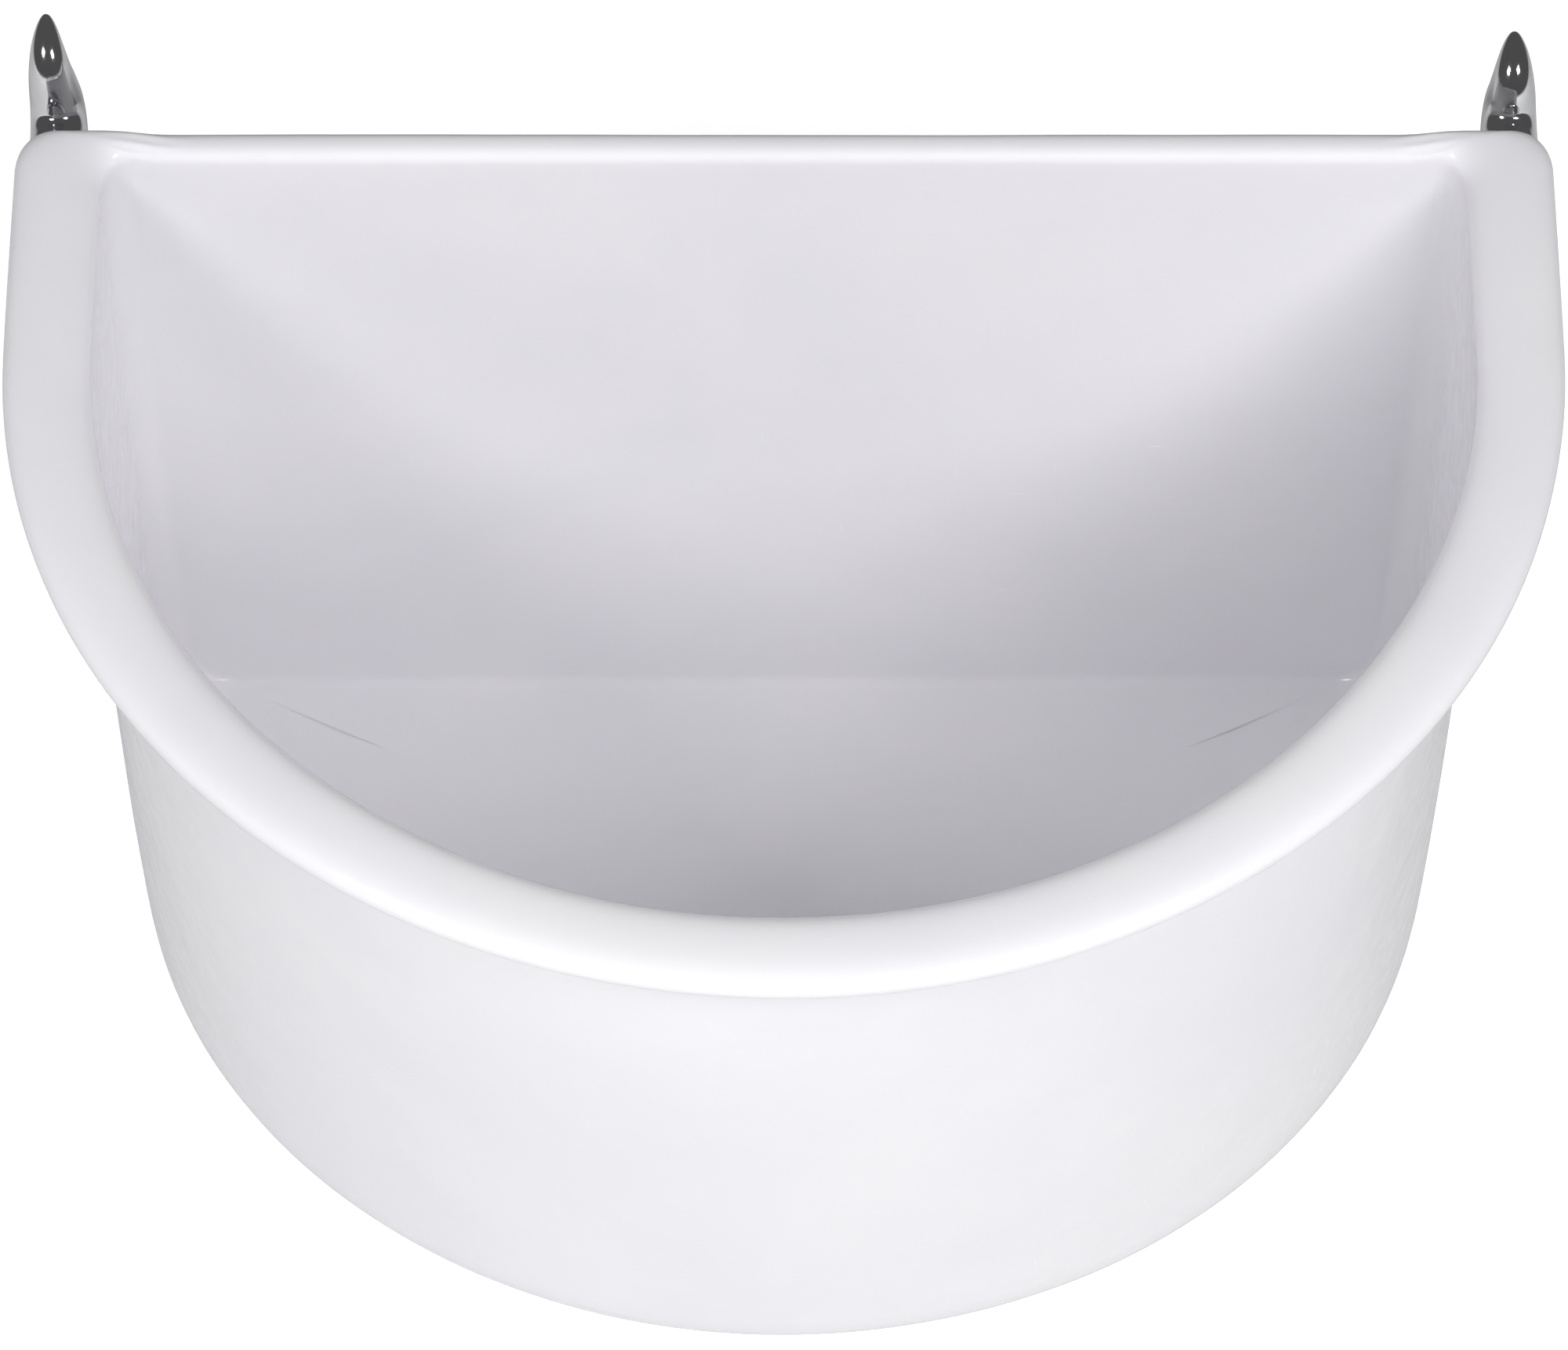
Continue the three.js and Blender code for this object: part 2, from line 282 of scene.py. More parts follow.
def move_ring(obj, ring, now, then):
    """Moves the selected ring from the plan `now` to the plan `then`."""
    rise = then["z"] - now["z"]
    bpy.ops.transform.translate(value=(0, then["centre"] - now["centre"], rise))
    bpy.ops.transform.resize(value=(then["half"] / now["half"], 1, 1), center_override=(0, 0, 0))
    bpy.ops.object.mode_set(mode="OBJECT")
    centre = then["centre"]
    depth = {number: obj.data.vertices[number].co.y - centre for number in ring}
    front = [number for number in ring if depth[number] < -TINY]
    cheeks = [number for number in ring if depth[number] > TINY]
    cheek_growth = (then["back"] - then["centre"]) / (now["back"] - now["centre"])
    for part, growth in ((front, then["reach"] / now["reach"]), (cheeks, cheek_growth)):
        select_numbered(obj, part)
        bpy.ops.transform.resize(value=(1, growth, 1), center_override=(0, centre, 0))
    select_numbered(obj, ring)


# %% Raise the whole skin
def raise_shell(name, levels):
    first = levels[0]
    shell = plan_outline(name, first["half"], first["back"], first["centre"], first["z"])
    ring = list(range(len(shell.data.vertices)))
    select_numbered(shell, ring)
    half_circle = {**first, "reach": first["half"]}
    move_ring(shell, ring, half_circle, first)
    for now, then in zip(levels, levels[1:]):
        bpy.ops.mesh.extrude_region_move()
        bpy.ops.object.mode_set(mode="OBJECT")
        total = len(shell.data.vertices)
        ring = list(range(total - len(ring), total))
        select_numbered(shell, ring)
        move_ring(shell, ring, now, then)
    return shell, ring


bucket, floor_ring = raise_shell("bucket_moulding", levels)
print("skin of", len(levels), "rings with", len(floor_ring), "points each")

# %% [markdown]
# ## Floor, base and softness
#
# The first and the last ring are filled to close the base and the floor, each with a small inset
# so that the fillets end in a proper row of quads. Between the two ends of the rim the back's upper
# edge is pressed a little lower, which leaves each end standing as a rounded lobe. One level of
# subdivision rounds every edge the way a plastic moulding is rounded. A large moulding never cools
# quite flat, so its faces are pushed in by a few tenths of a millimetre, by a slow cloud pattern.

# %% Close and soften the skin
FILL_INSET = 6 * MM
SINK_DEPTH = 0.7 * MM
SINK_SIZE = 110 * MM
EDGE_LOWERED = 0.8


def fill_ring(obj, numbers):
    select_numbered(obj, numbers)
    bpy.ops.mesh.edge_face_add()
    bpy.ops.mesh.select_mode(type="FACE")
    bpy.ops.mesh.inset(thickness=FILL_INSET)
    bpy.ops.mesh.select_mode(type="VERT")


def face_outwards(obj):
    edit(obj)
    bpy.ops.mesh.select_all(action="SELECT")
    bpy.ops.mesh.remove_doubles(threshold=0.001 * MM)
    bpy.ops.mesh.normals_make_consistent(inside=False)
    bpy.ops.object.mode_set(mode="OBJECT")


edit(bucket)
fill_ring(bucket, floor_ring)
fill_ring(bucket, range(len(floor_ring)))
lip_foot = EDGE - RIM_UNDERSIDE
select_where(bucket, lambda co: (co.z > lip_foot and co.y > BACK_INNER - TINY
                                 and abs(co.x) < MOUTH_HALF - CORNER))
bpy.ops.transform.resize(value=(1, 1, EDGE_LOWERED), center_override=(0, 0, lip_foot))
face_outwards(bucket)
finish_modifier(bucket, "SUBSURF", levels=1, render_levels=1)
sinks = bpy.data.textures.new("slow cooling sinks", "CLOUDS")
sinks.noise_scale = SINK_SIZE
finish_modifier(bucket, "DISPLACE", texture=sinks, texture_coords="LOCAL",
                strength=SINK_DEPTH, mid_level=1)
print("bucket skin", len(bucket.data.polygons), "faces")

# %% [markdown]
# ## Corner blocks and bores
#
# Each claw is bolted through a solid block under the end of the rim. A block starts as a cube of
# the right size. Its outer back edge is bevelled to the rim's own corner and its lower edges are
# eased. A boolean joins it to the skin, and another bores the hole for the shank.

# %% Block sizes
BLOCK_INNER = 177 * MM
BLOCK_OUTER = 199 * MM
BLOCK_LENGTH = 26 * MM
BLOCK_DROP = 31 * MM
BLOCK_TOP = 1.5 * MM
BLOCK_CORNER = 9.5 * MM
BLOCK_EASE = 2.5 * MM
BORE_RADIUS = 4.4 * MM


def corner_block(side):
    low = Vector((side * BLOCK_INNER, BACK_FACE - BLOCK_LENGTH, EDGE - BLOCK_DROP))
    high = Vector((side * BLOCK_OUTER, BACK_FACE, EDGE - BLOCK_TOP))
    middle = (low + high) / 2
    block = primitive("corner block", bpy.ops.mesh.primitive_cube_add, size=1,
                      location=middle, scale=[abs(length) for length in high - low])
    edit(block)
    select_where(block, lambda co: abs(co.x) > abs(middle.x) and co.y > middle.y)
    bpy.ops.mesh.bevel(offset=BLOCK_CORNER, segments=10)
    select_where(block, lambda co: co.z < middle.z)
    bpy.ops.mesh.bevel(offset=BLOCK_EASE, segments=4)
    face_outwards(block)
    return block


def drill(x, z, radius, near, far):
    """A round tool along Y, for cutting a bore from y = near to y = far."""
    return primitive("drill", bpy.ops.mesh.primitive_cylinder_add, vertices=48, radius=radius,
                     depth=far - near, location=(x, (near + far) / 2, z),
                     rotation=(math.pi / 2, 0, 0))


# %% Join the blocks and bore them
def combine(obj, tool, operation):
    """Joins the tool to obj, or cuts it away, and throws the tool away."""
    finish_modifier(obj, "BOOLEAN", object=tool, operation=operation, solver="EXACT")
    bpy.data.objects.remove(tool)


for body, shank in SHANKS.items():
    side = math.copysign(1, shank.x)
    combine(bucket, corner_block(side), "UNION")
    clear = 2 * MM
    combine(bucket, drill(shank.x, shank.z, BORE_RADIUS, BACK_FACE - BLOCK_LENGTH - clear,
                          BACK_FACE + clear), "DIFFERENCE")
smooth(bucket)
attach(bucket, "bucket")
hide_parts("bucket_shell")

# %% [markdown]
# ## Round pieces
#
# Shanks, collars, washers and the nut's round end are all turned pieces. Each starts as a circle
# around the shank's axis, which runs along Y, and is extruded from one profile point to the next:
# a move along the axis, then a resize to the new radius. When a profile ends where it began, the
# last ring is merged with the first and the piece is a ring. Otherwise both ends are filled.

# %% Turn a profile
ROUND_POINTS = 48


def turned(name, profile):
    """Extrudes a circle through (radius, y) points; a closed profile gives a ring."""
    radius, y = profile[0]
    piece = primitive(name, bpy.ops.mesh.primitive_circle_add, vertices=ROUND_POINTS,
                      radius=radius, fill_type="NOTHING", location=(0, y, 0),
                      rotation=(math.pi / 2, 0, 0))
    ring_piece = profile[0] == profile[-1]
    edit(piece)
    bpy.ops.mesh.select_all(action="SELECT")
    if not ring_piece:
        bpy.ops.mesh.edge_face_add()
    for new_radius, new_y in profile[1:]:
        bpy.ops.mesh.extrude_region_move(TRANSFORM_OT_translate={"value": (0, new_y - y, 0)})
        growth = new_radius / radius
        bpy.ops.transform.resize(value=(growth, 1, growth), center_override=(0, new_y, 0))
        radius, y = new_radius, new_y
    face_outwards(piece)
    return piece


# %% [markdown]
# ## The claws
#
# A claw is forged from one bar: a collar, a neck, an elbow and a thorn that curves backwards to
# its point. It is drawn out by extruding a circle along that line. At each station the new ring is
# moved, turned about its own centre and resized, so the bar tapers slowly at first and then fast.
# The two claws differ only in how high they stand and how far they are turned outwards.

# %% Claw sizes
GAP = 0.3 * MM
WASHER_THICK = 1.8 * MM
COLLAR_START = WASHER_THICK + 2 * GAP
COLLAR_THICK = 3 * MM
COLLAR_RADIUS = 8.6 * MM
COLLAR_END = COLLAR_START + COLLAR_THICK
SHANK_RADIUS = 3.9 * MM
NECK = 4.4 * MM
ROOT_RADIUS = 7.8 * MM
TIP_RADIUS = 0.5 * MM
POLISHED_OFF = 0.08 * MM
ELBOW_RADIUS = 9 * MM
BEND_RADIUS = 12 * MM
BEND = math.radians(60)
POINT = 5 * MM
TAPER_START = 2.2
TAPER_END = 0.62
CLAW_RISE = {"claw_left": 7.5 * MM, "claw_right": 0.5 * MM}
CLAW_LEAN = {"claw_left": math.radians(-5), "claw_right": math.radians(2.5)}


# %% The claw's line and taper
def claw_line(rise):
    """Pieces of the claw's centre line: length along it and how far it turns, both signed."""
    start = COLLAR_START + 0.5 * MM
    neck = COLLAR_END + NECK - start
    return start, [(neck, 0), (ELBOW_RADIUS * math.pi / 2, math.pi / 2), (rise, 0),
                   (BEND_RADIUS * BEND, -BEND), (POINT, 0)]


def claw_station(rise, share):
    """Where the centre line is at a share of its length: y, z and heading above +Y."""
    y, pieces = claw_line(rise)
    z = heading = 0.0
    left = share * sum(length for length, _ in pieces)
    for length, turn in pieces:
        part = min(left, length)
        swing = turn * part / length
        chord = part * (math.sin(swing / 2) / (swing / 2) if swing else 1)
        y += chord * math.cos(heading + swing / 2)
        z += chord * math.sin(heading + swing / 2)
        heading += swing
        left -= part
    return y, z, heading


def claw_radius(share):
    """Thickest at the root; a higher TAPER_START keeps it thick for longer."""
    fullness = (1 - share ** TAPER_START) ** TAPER_END
    return TIP_RADIUS + (ROOT_RADIUS - TIP_RADIUS) * fullness - POLISHED_OFF


# %% Draw one claw out
CLAW_STATIONS = 80


def claw_bar(rise):
    shares = [1 - (1 - i / CLAW_STATIONS) ** 1.5 for i in range(CLAW_STATIONS + 1)]
    y, z, heading = claw_station(rise, 0)
    radius = claw_radius(0)
    bar = primitive("claw bar", bpy.ops.mesh.primitive_circle_add, vertices=ROUND_POINTS,
                    radius=radius, fill_type="NGON", location=(0, y, z),
                    rotation=(math.pi / 2, 0, 0))
    edit(bar)
    bpy.ops.mesh.select_all(action="SELECT")
    for share in shares[1:]:
        new_y, new_z, new_heading = claw_station(rise, share)
        step = (0, new_y - y, new_z - z)
        centre = (0, new_y, new_z)
        bpy.ops.mesh.extrude_region_move(TRANSFORM_OT_translate={"value": step})
        bpy.ops.transform.rotate(value=heading - new_heading, orient_axis="X",
                                 center_override=centre)
        growth = claw_radius(share) / radius
        bpy.ops.transform.resize(value=(growth, growth, growth), center_override=centre)
        y, z, heading, radius = new_y, new_z, new_heading, claw_radius(share)
    face_outwards(bar)
    return bar

# %% [markdown]
# ## Threaded shank
#
# The shank is a turned bar with the collar at one end. Its thread is a real helix: a small
# three-sided ridge is swept round the shank by a Screw modifier, one pitch per turn, and joined to
# a slightly thinner core. Cutting the ridge with a chamfered bar ends the thread cleanly.

# %% Thread and shank sizes
NUT_FRONT = -BLOCK_LENGTH - WASHER_THICK - 2 * GAP
NUT_HEIGHT = 6 * MM
NUT_COLLAR_HEIGHT = 3 * MM
SHANK_END = NUT_FRONT - NUT_HEIGHT - NUT_COLLAR_HEIGHT - 3 * MM
PITCH = 1.25 * MM
THREAD_DEPTH = 0.6 * MM
THREAD_LENGTH = 16 * MM
THREAD_CHAMFER = 0.8 * MM


# %% Cut the thread
def thread_ridge():
    """A helical ridge of triangular section, a little longer than the threaded length."""
    root = SHANK_RADIUS - THREAD_DEPTH - 0.15 * MM
    half_width = 0.44 * PITCH
    corners = ((root, -half_width), (SHANK_RADIUS, 0), (root, half_width))
    ridge = primitive("thread ridge", bpy.ops.mesh.primitive_circle_add, vertices=3,
                      radius=SHANK_RADIUS, fill_type="NOTHING", location=(0, 0, 0))
    for vertex, (radius, y) in zip(ridge.data.vertices, corners):
        vertex.co = (radius, SHANK_END - PITCH + y, 0)
    turns = math.ceil(THREAD_LENGTH / PITCH) + 1
    finish_modifier(ridge, "SCREW", axis="Y", screw_offset=PITCH, iterations=turns,
                    steps=28, render_steps=28)
    edit(ridge)
    bpy.ops.mesh.select_all(action="DESELECT")
    bpy.ops.mesh.select_non_manifold()
    bpy.ops.mesh.edge_face_add()
    face_outwards(ridge)
    return ridge


def threaded_shank():
    core_radius = SHANK_RADIUS - THREAD_DEPTH
    thread_end = SHANK_END + THREAD_LENGTH
    shank = turned("threaded shank", [
        (core_radius, SHANK_END), (core_radius, thread_end),
        (SHANK_RADIUS, thread_end + THREAD_CHAMFER),
        (SHANK_RADIUS, COLLAR_START), (COLLAR_RADIUS - 0.5 * MM, COLLAR_START),
        (COLLAR_RADIUS, COLLAR_START + 0.5 * MM), (COLLAR_RADIUS, COLLAR_END - 0.8 * MM),
        (COLLAR_RADIUS - 0.25 * MM, COLLAR_END - 0.25 * MM),
        (COLLAR_RADIUS - 0.8 * MM, COLLAR_END)])
    ridge = thread_ridge()
    trim = turned("thread trim", [
        (SHANK_RADIUS - THREAD_CHAMFER, SHANK_END),
        (SHANK_RADIUS + THREAD_DEPTH, SHANK_END + THREAD_CHAMFER + THREAD_DEPTH),
        (SHANK_RADIUS + THREAD_DEPTH, thread_end + THREAD_CHAMFER / 2)])
    combine(ridge, trim, "INTERSECT")
    combine(shank, ridge, "UNION")
    return shank


# %% Put the claws together and in place
pieces_by_finish = {}


def put_on_shank(piece, body, turn=0):
    """Turns a piece made on the Y axis and moves it to that claw's place on the bucket."""
    only(piece)
    piece.matrix_world = Matrix.Translation(SHANKS[body]) @ Matrix.Rotation(turn, 4, "Y")
    bpy.ops.object.transform_apply(location=True, rotation=True, scale=True)


def finish_piece(piece, name, body, node, finish):
    """Names and smooths the piece, hangs it on its body, hides its CAD node and files it by finish.
    """
    piece.name = piece.data.name = name
    smooth(piece)
    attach(piece, body)
    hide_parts(node)
    pieces_by_finish.setdefault(finish, []).append(piece)


for body in SHANKS:
    side_name = body.removeprefix("claw_")
    claw = threaded_shank()
    combine(claw, claw_bar(CLAW_RISE[body]), "UNION")
    put_on_shank(claw, body, CLAW_LEAN[body])
    finish_piece(claw, f"{side_name}_claw_with_threaded_shank", body, f"hook_{side_name}",
                 "polished_steel")

# %% [markdown]
# ## Washers
#
# A washer is stamped from sheet: the punch leaves one edge rolled over and the other crisp. One
# washer lies under each claw's collar, behind the block, and one under each nut, in front of it.
# The washer is turned once for each place, and the rolled edge always faces away from the block.

# %% Make the washers
WASHER_RADIUS = 8.6 * MM
WASHER_HOLE = 4.3 * MM
ROLLOVER = 0.55 * MM
EASE = 0.15 * MM


def washer_profile(near, far):
    """A closed profile whose rolled-over edge is at y = far."""
    away = math.copysign(1, far - near)
    roll = [(WASHER_RADIUS - ROLLOVER * (1 - math.sin(angle)),
             far - away * ROLLOVER * (1 - math.cos(angle)))
            for angle in (math.pi / 2, math.pi / 3, math.pi / 6, 0)]
    return [(WASHER_HOLE, near), (WASHER_RADIUS - EASE, near), (WASHER_RADIUS, near + away * EASE),
            *roll, (WASHER_HOLE + ROLLOVER, far), (WASHER_HOLE, far - away * ROLLOVER),
            (WASHER_HOLE, near)]


for body in SHANKS:
    side_name = body.removeprefix("claw_")
    for place, near, far in (("back", GAP, GAP + WASHER_THICK),
                             ("nut", -BLOCK_LENGTH - GAP, -BLOCK_LENGTH - GAP - WASHER_THICK)):
        washer = turned("washer", washer_profile(near, far))
        put_on_shank(washer, body)
        finish_piece(washer, f"{side_name}_{place}_washer", "bucket",
                     f"{place}_washer_{side_name}", "zinc_plated_steel")

# %% [markdown]
# ## Lock nuts
#
# A lock nut is a hexagon with a round collar at its free end. A hexagonal prism is cut with a
# turned bar to chamfer its corners, the collar is added with its lip rolled inwards, and a stepped
# drill cuts the hole and the pocket. The nylon ring that grips the thread sits in that pocket.

# %% Make the lock nuts
NUT_ACROSS_FLATS = 13 * MM
NUT_COLLAR_RADIUS = 6.4 * MM
NUT_HOLE = 4.2 * MM
LIP_RADIUS = 5.05 * MM
POCKET_RADIUS = 5.65 * MM
POCKET_FLOOR = -NUT_HEIGHT - 0.4 * MM
LIP_START = -NUT_HEIGHT - NUT_COLLAR_HEIGHT + 0.5 * MM


def lock_nut():
    """A lock nut whose bearing face is at y = 0 and whose collar points towards -Y."""
    corner = NUT_ACROSS_FLATS / math.sqrt(3)
    chamfer = 0.7 * MM
    nut = primitive("lock nut", bpy.ops.mesh.primitive_cylinder_add, vertices=6, radius=corner,
                    depth=NUT_HEIGHT, location=(0, -NUT_HEIGHT / 2, 0),
                    rotation=(math.pi / 2, 0, 0))
    beyond = corner + 0.2 * MM
    trim = turned("chamfer trim", [
        (corner - 1.4 * MM, 0), (beyond, -chamfer - 0.15 * MM),
        (beyond, chamfer - NUT_HEIGHT), (corner - 1.2 * MM, -NUT_HEIGHT)])
    combine(nut, trim, "INTERSECT")
    end = -NUT_HEIGHT - NUT_COLLAR_HEIGHT
    collar = turned("nut collar", [
        (NUT_COLLAR_RADIUS, 0.5 * MM - NUT_HEIGHT), (NUT_COLLAR_RADIUS, end + 1.4 * MM),
        (NUT_COLLAR_RADIUS - 0.15 * MM, end + 0.8 * MM),
        (NUT_COLLAR_RADIUS - 0.45 * MM, end + 0.3 * MM),
        (NUT_COLLAR_RADIUS - 0.9 * MM, end)])
    combine(nut, collar, "UNION")
    stepped_drill = turned("stepped drill", [
        (NUT_HOLE + 1.2 * MM, 0.6 * MM), (NUT_HOLE, -0.6 * MM), (NUT_HOLE, POCKET_FLOOR),
        (POCKET_RADIUS, POCKET_FLOOR), (POCKET_RADIUS, LIP_START),
        (LIP_RADIUS, LIP_START - 0.1 * MM), (LIP_RADIUS, end - 1 * MM)])
    combine(nut, stepped_drill, "DIFFERENCE")
    return nut


def nylon_ring():
    top = POCKET_FLOOR - 0.1 * MM
    end = LIP_START + 0.1 * MM
    inner = SHANK_RADIUS + 0.15 * MM
    outer = POCKET_RADIUS - 0.2 * MM
    return turned("nylon ring", [
        (inner, top), (outer, top), (outer, end + 0.2 * MM), (outer - 0.2 * MM, end),
        (inner + 0.45 * MM, end), (inner + 0.12 * MM, end + 0.15 * MM),
        (inner, end + 0.45 * MM), (inner, top)])


for body in SHANKS:
    side_name = body.removeprefix("claw_")
    for piece, name, node, finish in (
            (lock_nut(), "lock_nut", "lock_nut", "zinc_plated_steel"),
            (nylon_ring(), "nylon_ring", "nut_insert", "blue_nylon")):
        piece.data.transform(Matrix.Translation((0, NUT_FRONT, 0)))
        put_on_shank(piece, body, CLAW_LEAN[body])
        finish_piece(piece, f"{side_name}_{name}", body, f"{node}_{side_name}", finish)

# %% [markdown]
# ## Node tools for the finishes
#
# Every finish below is a small network of nodes. Two helpers keep the networks readable: one adds
# a node and sets its sockets, the other starts a material with its shader in place. A value that
# is the same all over is set on the shader's own socket.

# %% Node helpers
def add_node(tree, kind, links=None, settings=None, **values):
    """Adds a node, sets its properties and socket values, and links sockets into it."""
    node = tree.nodes.new(kind)
    for key, value in (settings or {}).items():
        setattr(node, key, value)
    for key, value in values.items():
        node.inputs[key.replace("_", " ")].default_value = value
    for key, source in (links or {}).items():
        tree.links.new(source, node.inputs[key])
    return node


def new_finish(name, color, **values):
    """A material with a Principled BSDF; returns the material, its tree and its shader."""
    material = bpy.data.materials.new(name)
    material.use_nodes = True
    tree = material.node_tree
    shader = tree.nodes["Principled BSDF"]
    shader.inputs["Base Color"].default_value = (*color, 1)
    for key, value in values.items():
        shader.inputs[key.replace("_", " ")].default_value = value
    return material, tree, shader


def object_place(tree, scale=(1, 1, 1), turn=(0, 0, 0)):
    """Object coordinates through a Mapping node, so that a pattern can be stretched."""
    place = add_node(tree, "ShaderNodeTexCoord")
    mapping = add_node(tree, "ShaderNodeMapping", {"Vector": place.outputs["Object"]},
                       Scale=scale, Rotation=turn)
    return mapping.outputs["Vector"]


def ramp(tree, factor, low, high, low_value=0.0, high_value=1.0):
    """Takes low..high to low_value..high_value and holds it there outside that range."""
    node = add_node(tree, "ShaderNodeMapRange", {"Value": factor},
                    {"clamp": True, "interpolation_type": "SMOOTHSTEP"},
                    From_Min=low, From_Max=high, To_Min=low_value, To_Max=high_value)
    return node.outputs["Result"]


def paint(material, pieces):
    for piece in pieces:
        piece.data.materials.clear()
        piece.data.materials.append(material)
    print(material.name, "on", len(pieces), "pieces")

# %% [markdown]
# ## Shared patterns
#
# Two effects are used by more than one finish, so each is a node group. Hairline scuffs are long
# thin streaks of noise, kept only where a slow patchy noise allows them. Mottle is a soft cloudy
# change, which plastic, plating and nylon all show at their own scale.

# %% Hairline scuffs and mottle
def new_group(name, inputs, output):
    """A shader node group with float or vector inputs and one float output."""
    group = bpy.data.node_groups.new(name, "ShaderNodeTree")
    for label, kind, value in inputs:
        socket = group.interface.new_socket(label, in_out="INPUT", socket_type=kind)
        if value is not None:
            socket.default_value = value
    group.interface.new_socket(output, in_out="OUTPUT", socket_type="NodeSocketFloat")
    return group, group.nodes.new("NodeGroupInput"), group.nodes.new("NodeGroupOutput")


def times(tree, first, second):
    node = add_node(tree, "ShaderNodeMath", settings={"operation": "MULTIPLY"})
    for socket, value in zip(node.inputs, (first, second)):
        if isinstance(value, (int, float)):
            socket.default_value = value
        else:
            tree.links.new(value, socket)
    return node.outputs["Value"]


def plus(tree, first, second):
    node = add_node(tree, "ShaderNodeMath", settings={"operation": "ADD"})
    tree.links.new(first, node.inputs[0])
    tree.links.new(second, node.inputs[1])
    return node.outputs["Value"]


def make_scuffs():
    group, given, result = new_group("hairline scuffs", (
        ("Vector", "NodeSocketVector", None), ("Scale", "NodeSocketFloat", 60),
        ("Patch Scale", "NodeSocketFloat", 12)), "Scuffs")
    streaks = []
    for turn, stretch in ((0.5, (1, 26, 26)), (-0.9, (22, 1, 22)), (2.2, (30, 30, 1))):
        mapping = add_node(group, "ShaderNodeMapping", {"Vector": given.outputs["Vector"]},
                           Scale=stretch, Rotation=(turn, turn / 2, turn))
        noise = add_node(group, "ShaderNodeTexNoise",
                         {"Vector": mapping.outputs["Vector"], "Scale": given.outputs["Scale"]},
                         Detail=2.0)
        streaks.append(ramp(group, noise.outputs["Fac"], 0.68, 0.82))
    patches = add_node(group, "ShaderNodeTexNoise",
                       {"Vector": given.outputs["Vector"], "Scale": given.outputs["Patch Scale"]},
                       Detail=3.0)
    where = ramp(group, patches.outputs["Fac"], 0.48, 0.62)
    all_streaks = plus(group, plus(group, streaks[0], streaks[1]), streaks[2])
    group.links.new(times(group, all_streaks, where), result.inputs["Scuffs"])
    return group


def make_mottle():
    group, given, result = new_group("mottle", (
        ("Vector", "NodeSocketVector", None), ("Scale", "NodeSocketFloat", 20)), "Mottle")
    noise = add_node(group, "ShaderNodeTexNoise",
                     {"Vector": given.outputs["Vector"], "Scale": given.outputs["Scale"]},
                     Detail=4.0, Roughness=0.55, Distortion=0.4)
    group.links.new(ramp(group, noise.outputs["Fac"], 0.3, 0.7), result.inputs["Mottle"])
    return group


SCUFFS = make_scuffs()
MOTTLE = make_mottle()


def pattern(tree, group, vector, **values):
    """Places a pattern group in a material and returns its output."""
    return add_node(tree, "ShaderNodeGroup", {"Vector": vector}, {"node_tree": group},
                    **values).outputs[0]


def two_tone(tree, mask, low, high):
    """A colour that goes from low to high with the mask."""
    node = add_node(tree, "ShaderNodeMix", settings={"data_type": "RGBA"})
    tree.links.new(mask, node.inputs["Factor"])
    for socket, color in zip((node.inputs[6], node.inputs[7]), (low, high)):
        socket.default_value = (*color, 1)
    return node.outputs[2]


def bump(tree, height, depth, below=None):
    """A Bump node of that depth, in metres, over another bump if one is given."""
    links = {"Height": height, **({"Normal": below} if below else {})}
    return add_node(tree, "ShaderNodeBump", links, Strength=1.0, Distance=depth).outputs["Normal"]


# %% [markdown]
# ## White moulding
#
# Moulded polyethylene is slightly waxy: light goes a little way in, so the shader has some
# subsurface scattering. Its gloss is soft and uneven, because the surface copies the tool's fine
# texture and then ripples as it shrinks. Colour hardly changes, so the mottle there is very weak.

# %% White moulding
def white_moulding():
    material, tree, shader = new_finish(
        "white moulded polyethylene", (0.9, 0.89, 0.93), IOR=1.51, Subsurface_Weight=0.12,
        Subsurface_Radius=(1.0, 0.9, 0.85), Subsurface_Scale=4 * MM)
    place = object_place(tree)
    slow = pattern(tree, MOTTLE, place, Scale=9.0)
    fine = pattern(tree, MOTTLE, place, Scale=160.0)
    scuffs = pattern(tree, SCUFFS, place, Scale=60.0, Patch_Scale=9.0)
    color = two_tone(tree, slow, (0.885, 0.875, 0.915), (0.92, 0.91, 0.94))
    tree.links.new(color, shader.inputs["Base Color"])
    gloss = plus(tree, ramp(tree, slow, 0, 1, 0.16, 0.22), times(tree, scuffs, 0.05))
    tree.links.new(plus(tree, gloss, times(tree, fine, 0.05)), shader.inputs["Roughness"])
    ripple = add_node(tree, "ShaderNodeTexNoise", {"Vector": place}, Scale=22.0, Detail=1.0)
    peel = add_node(tree, "ShaderNodeTexNoise", {"Vector": place}, Scale=620.0, Detail=2.0)
    waves = bump(tree, ripple.outputs["Fac"], 0.5 * MM)
    skin = bump(tree, peel.outputs["Fac"], 0.03 * MM, waves)
    tree.links.new(skin, shader.inputs["Normal"])
    return material


paint(white_moulding(), [bucket])

# %% [markdown]
# ## Polished steel
#
# The claws are buffed to a mirror, but a forging keeps slow hollows that bend reflections, and
# hanging a bucket scratches it. Roughness stays very low, rises in the scuffs, and a weak slow
# bump bends what the steel mirrors.

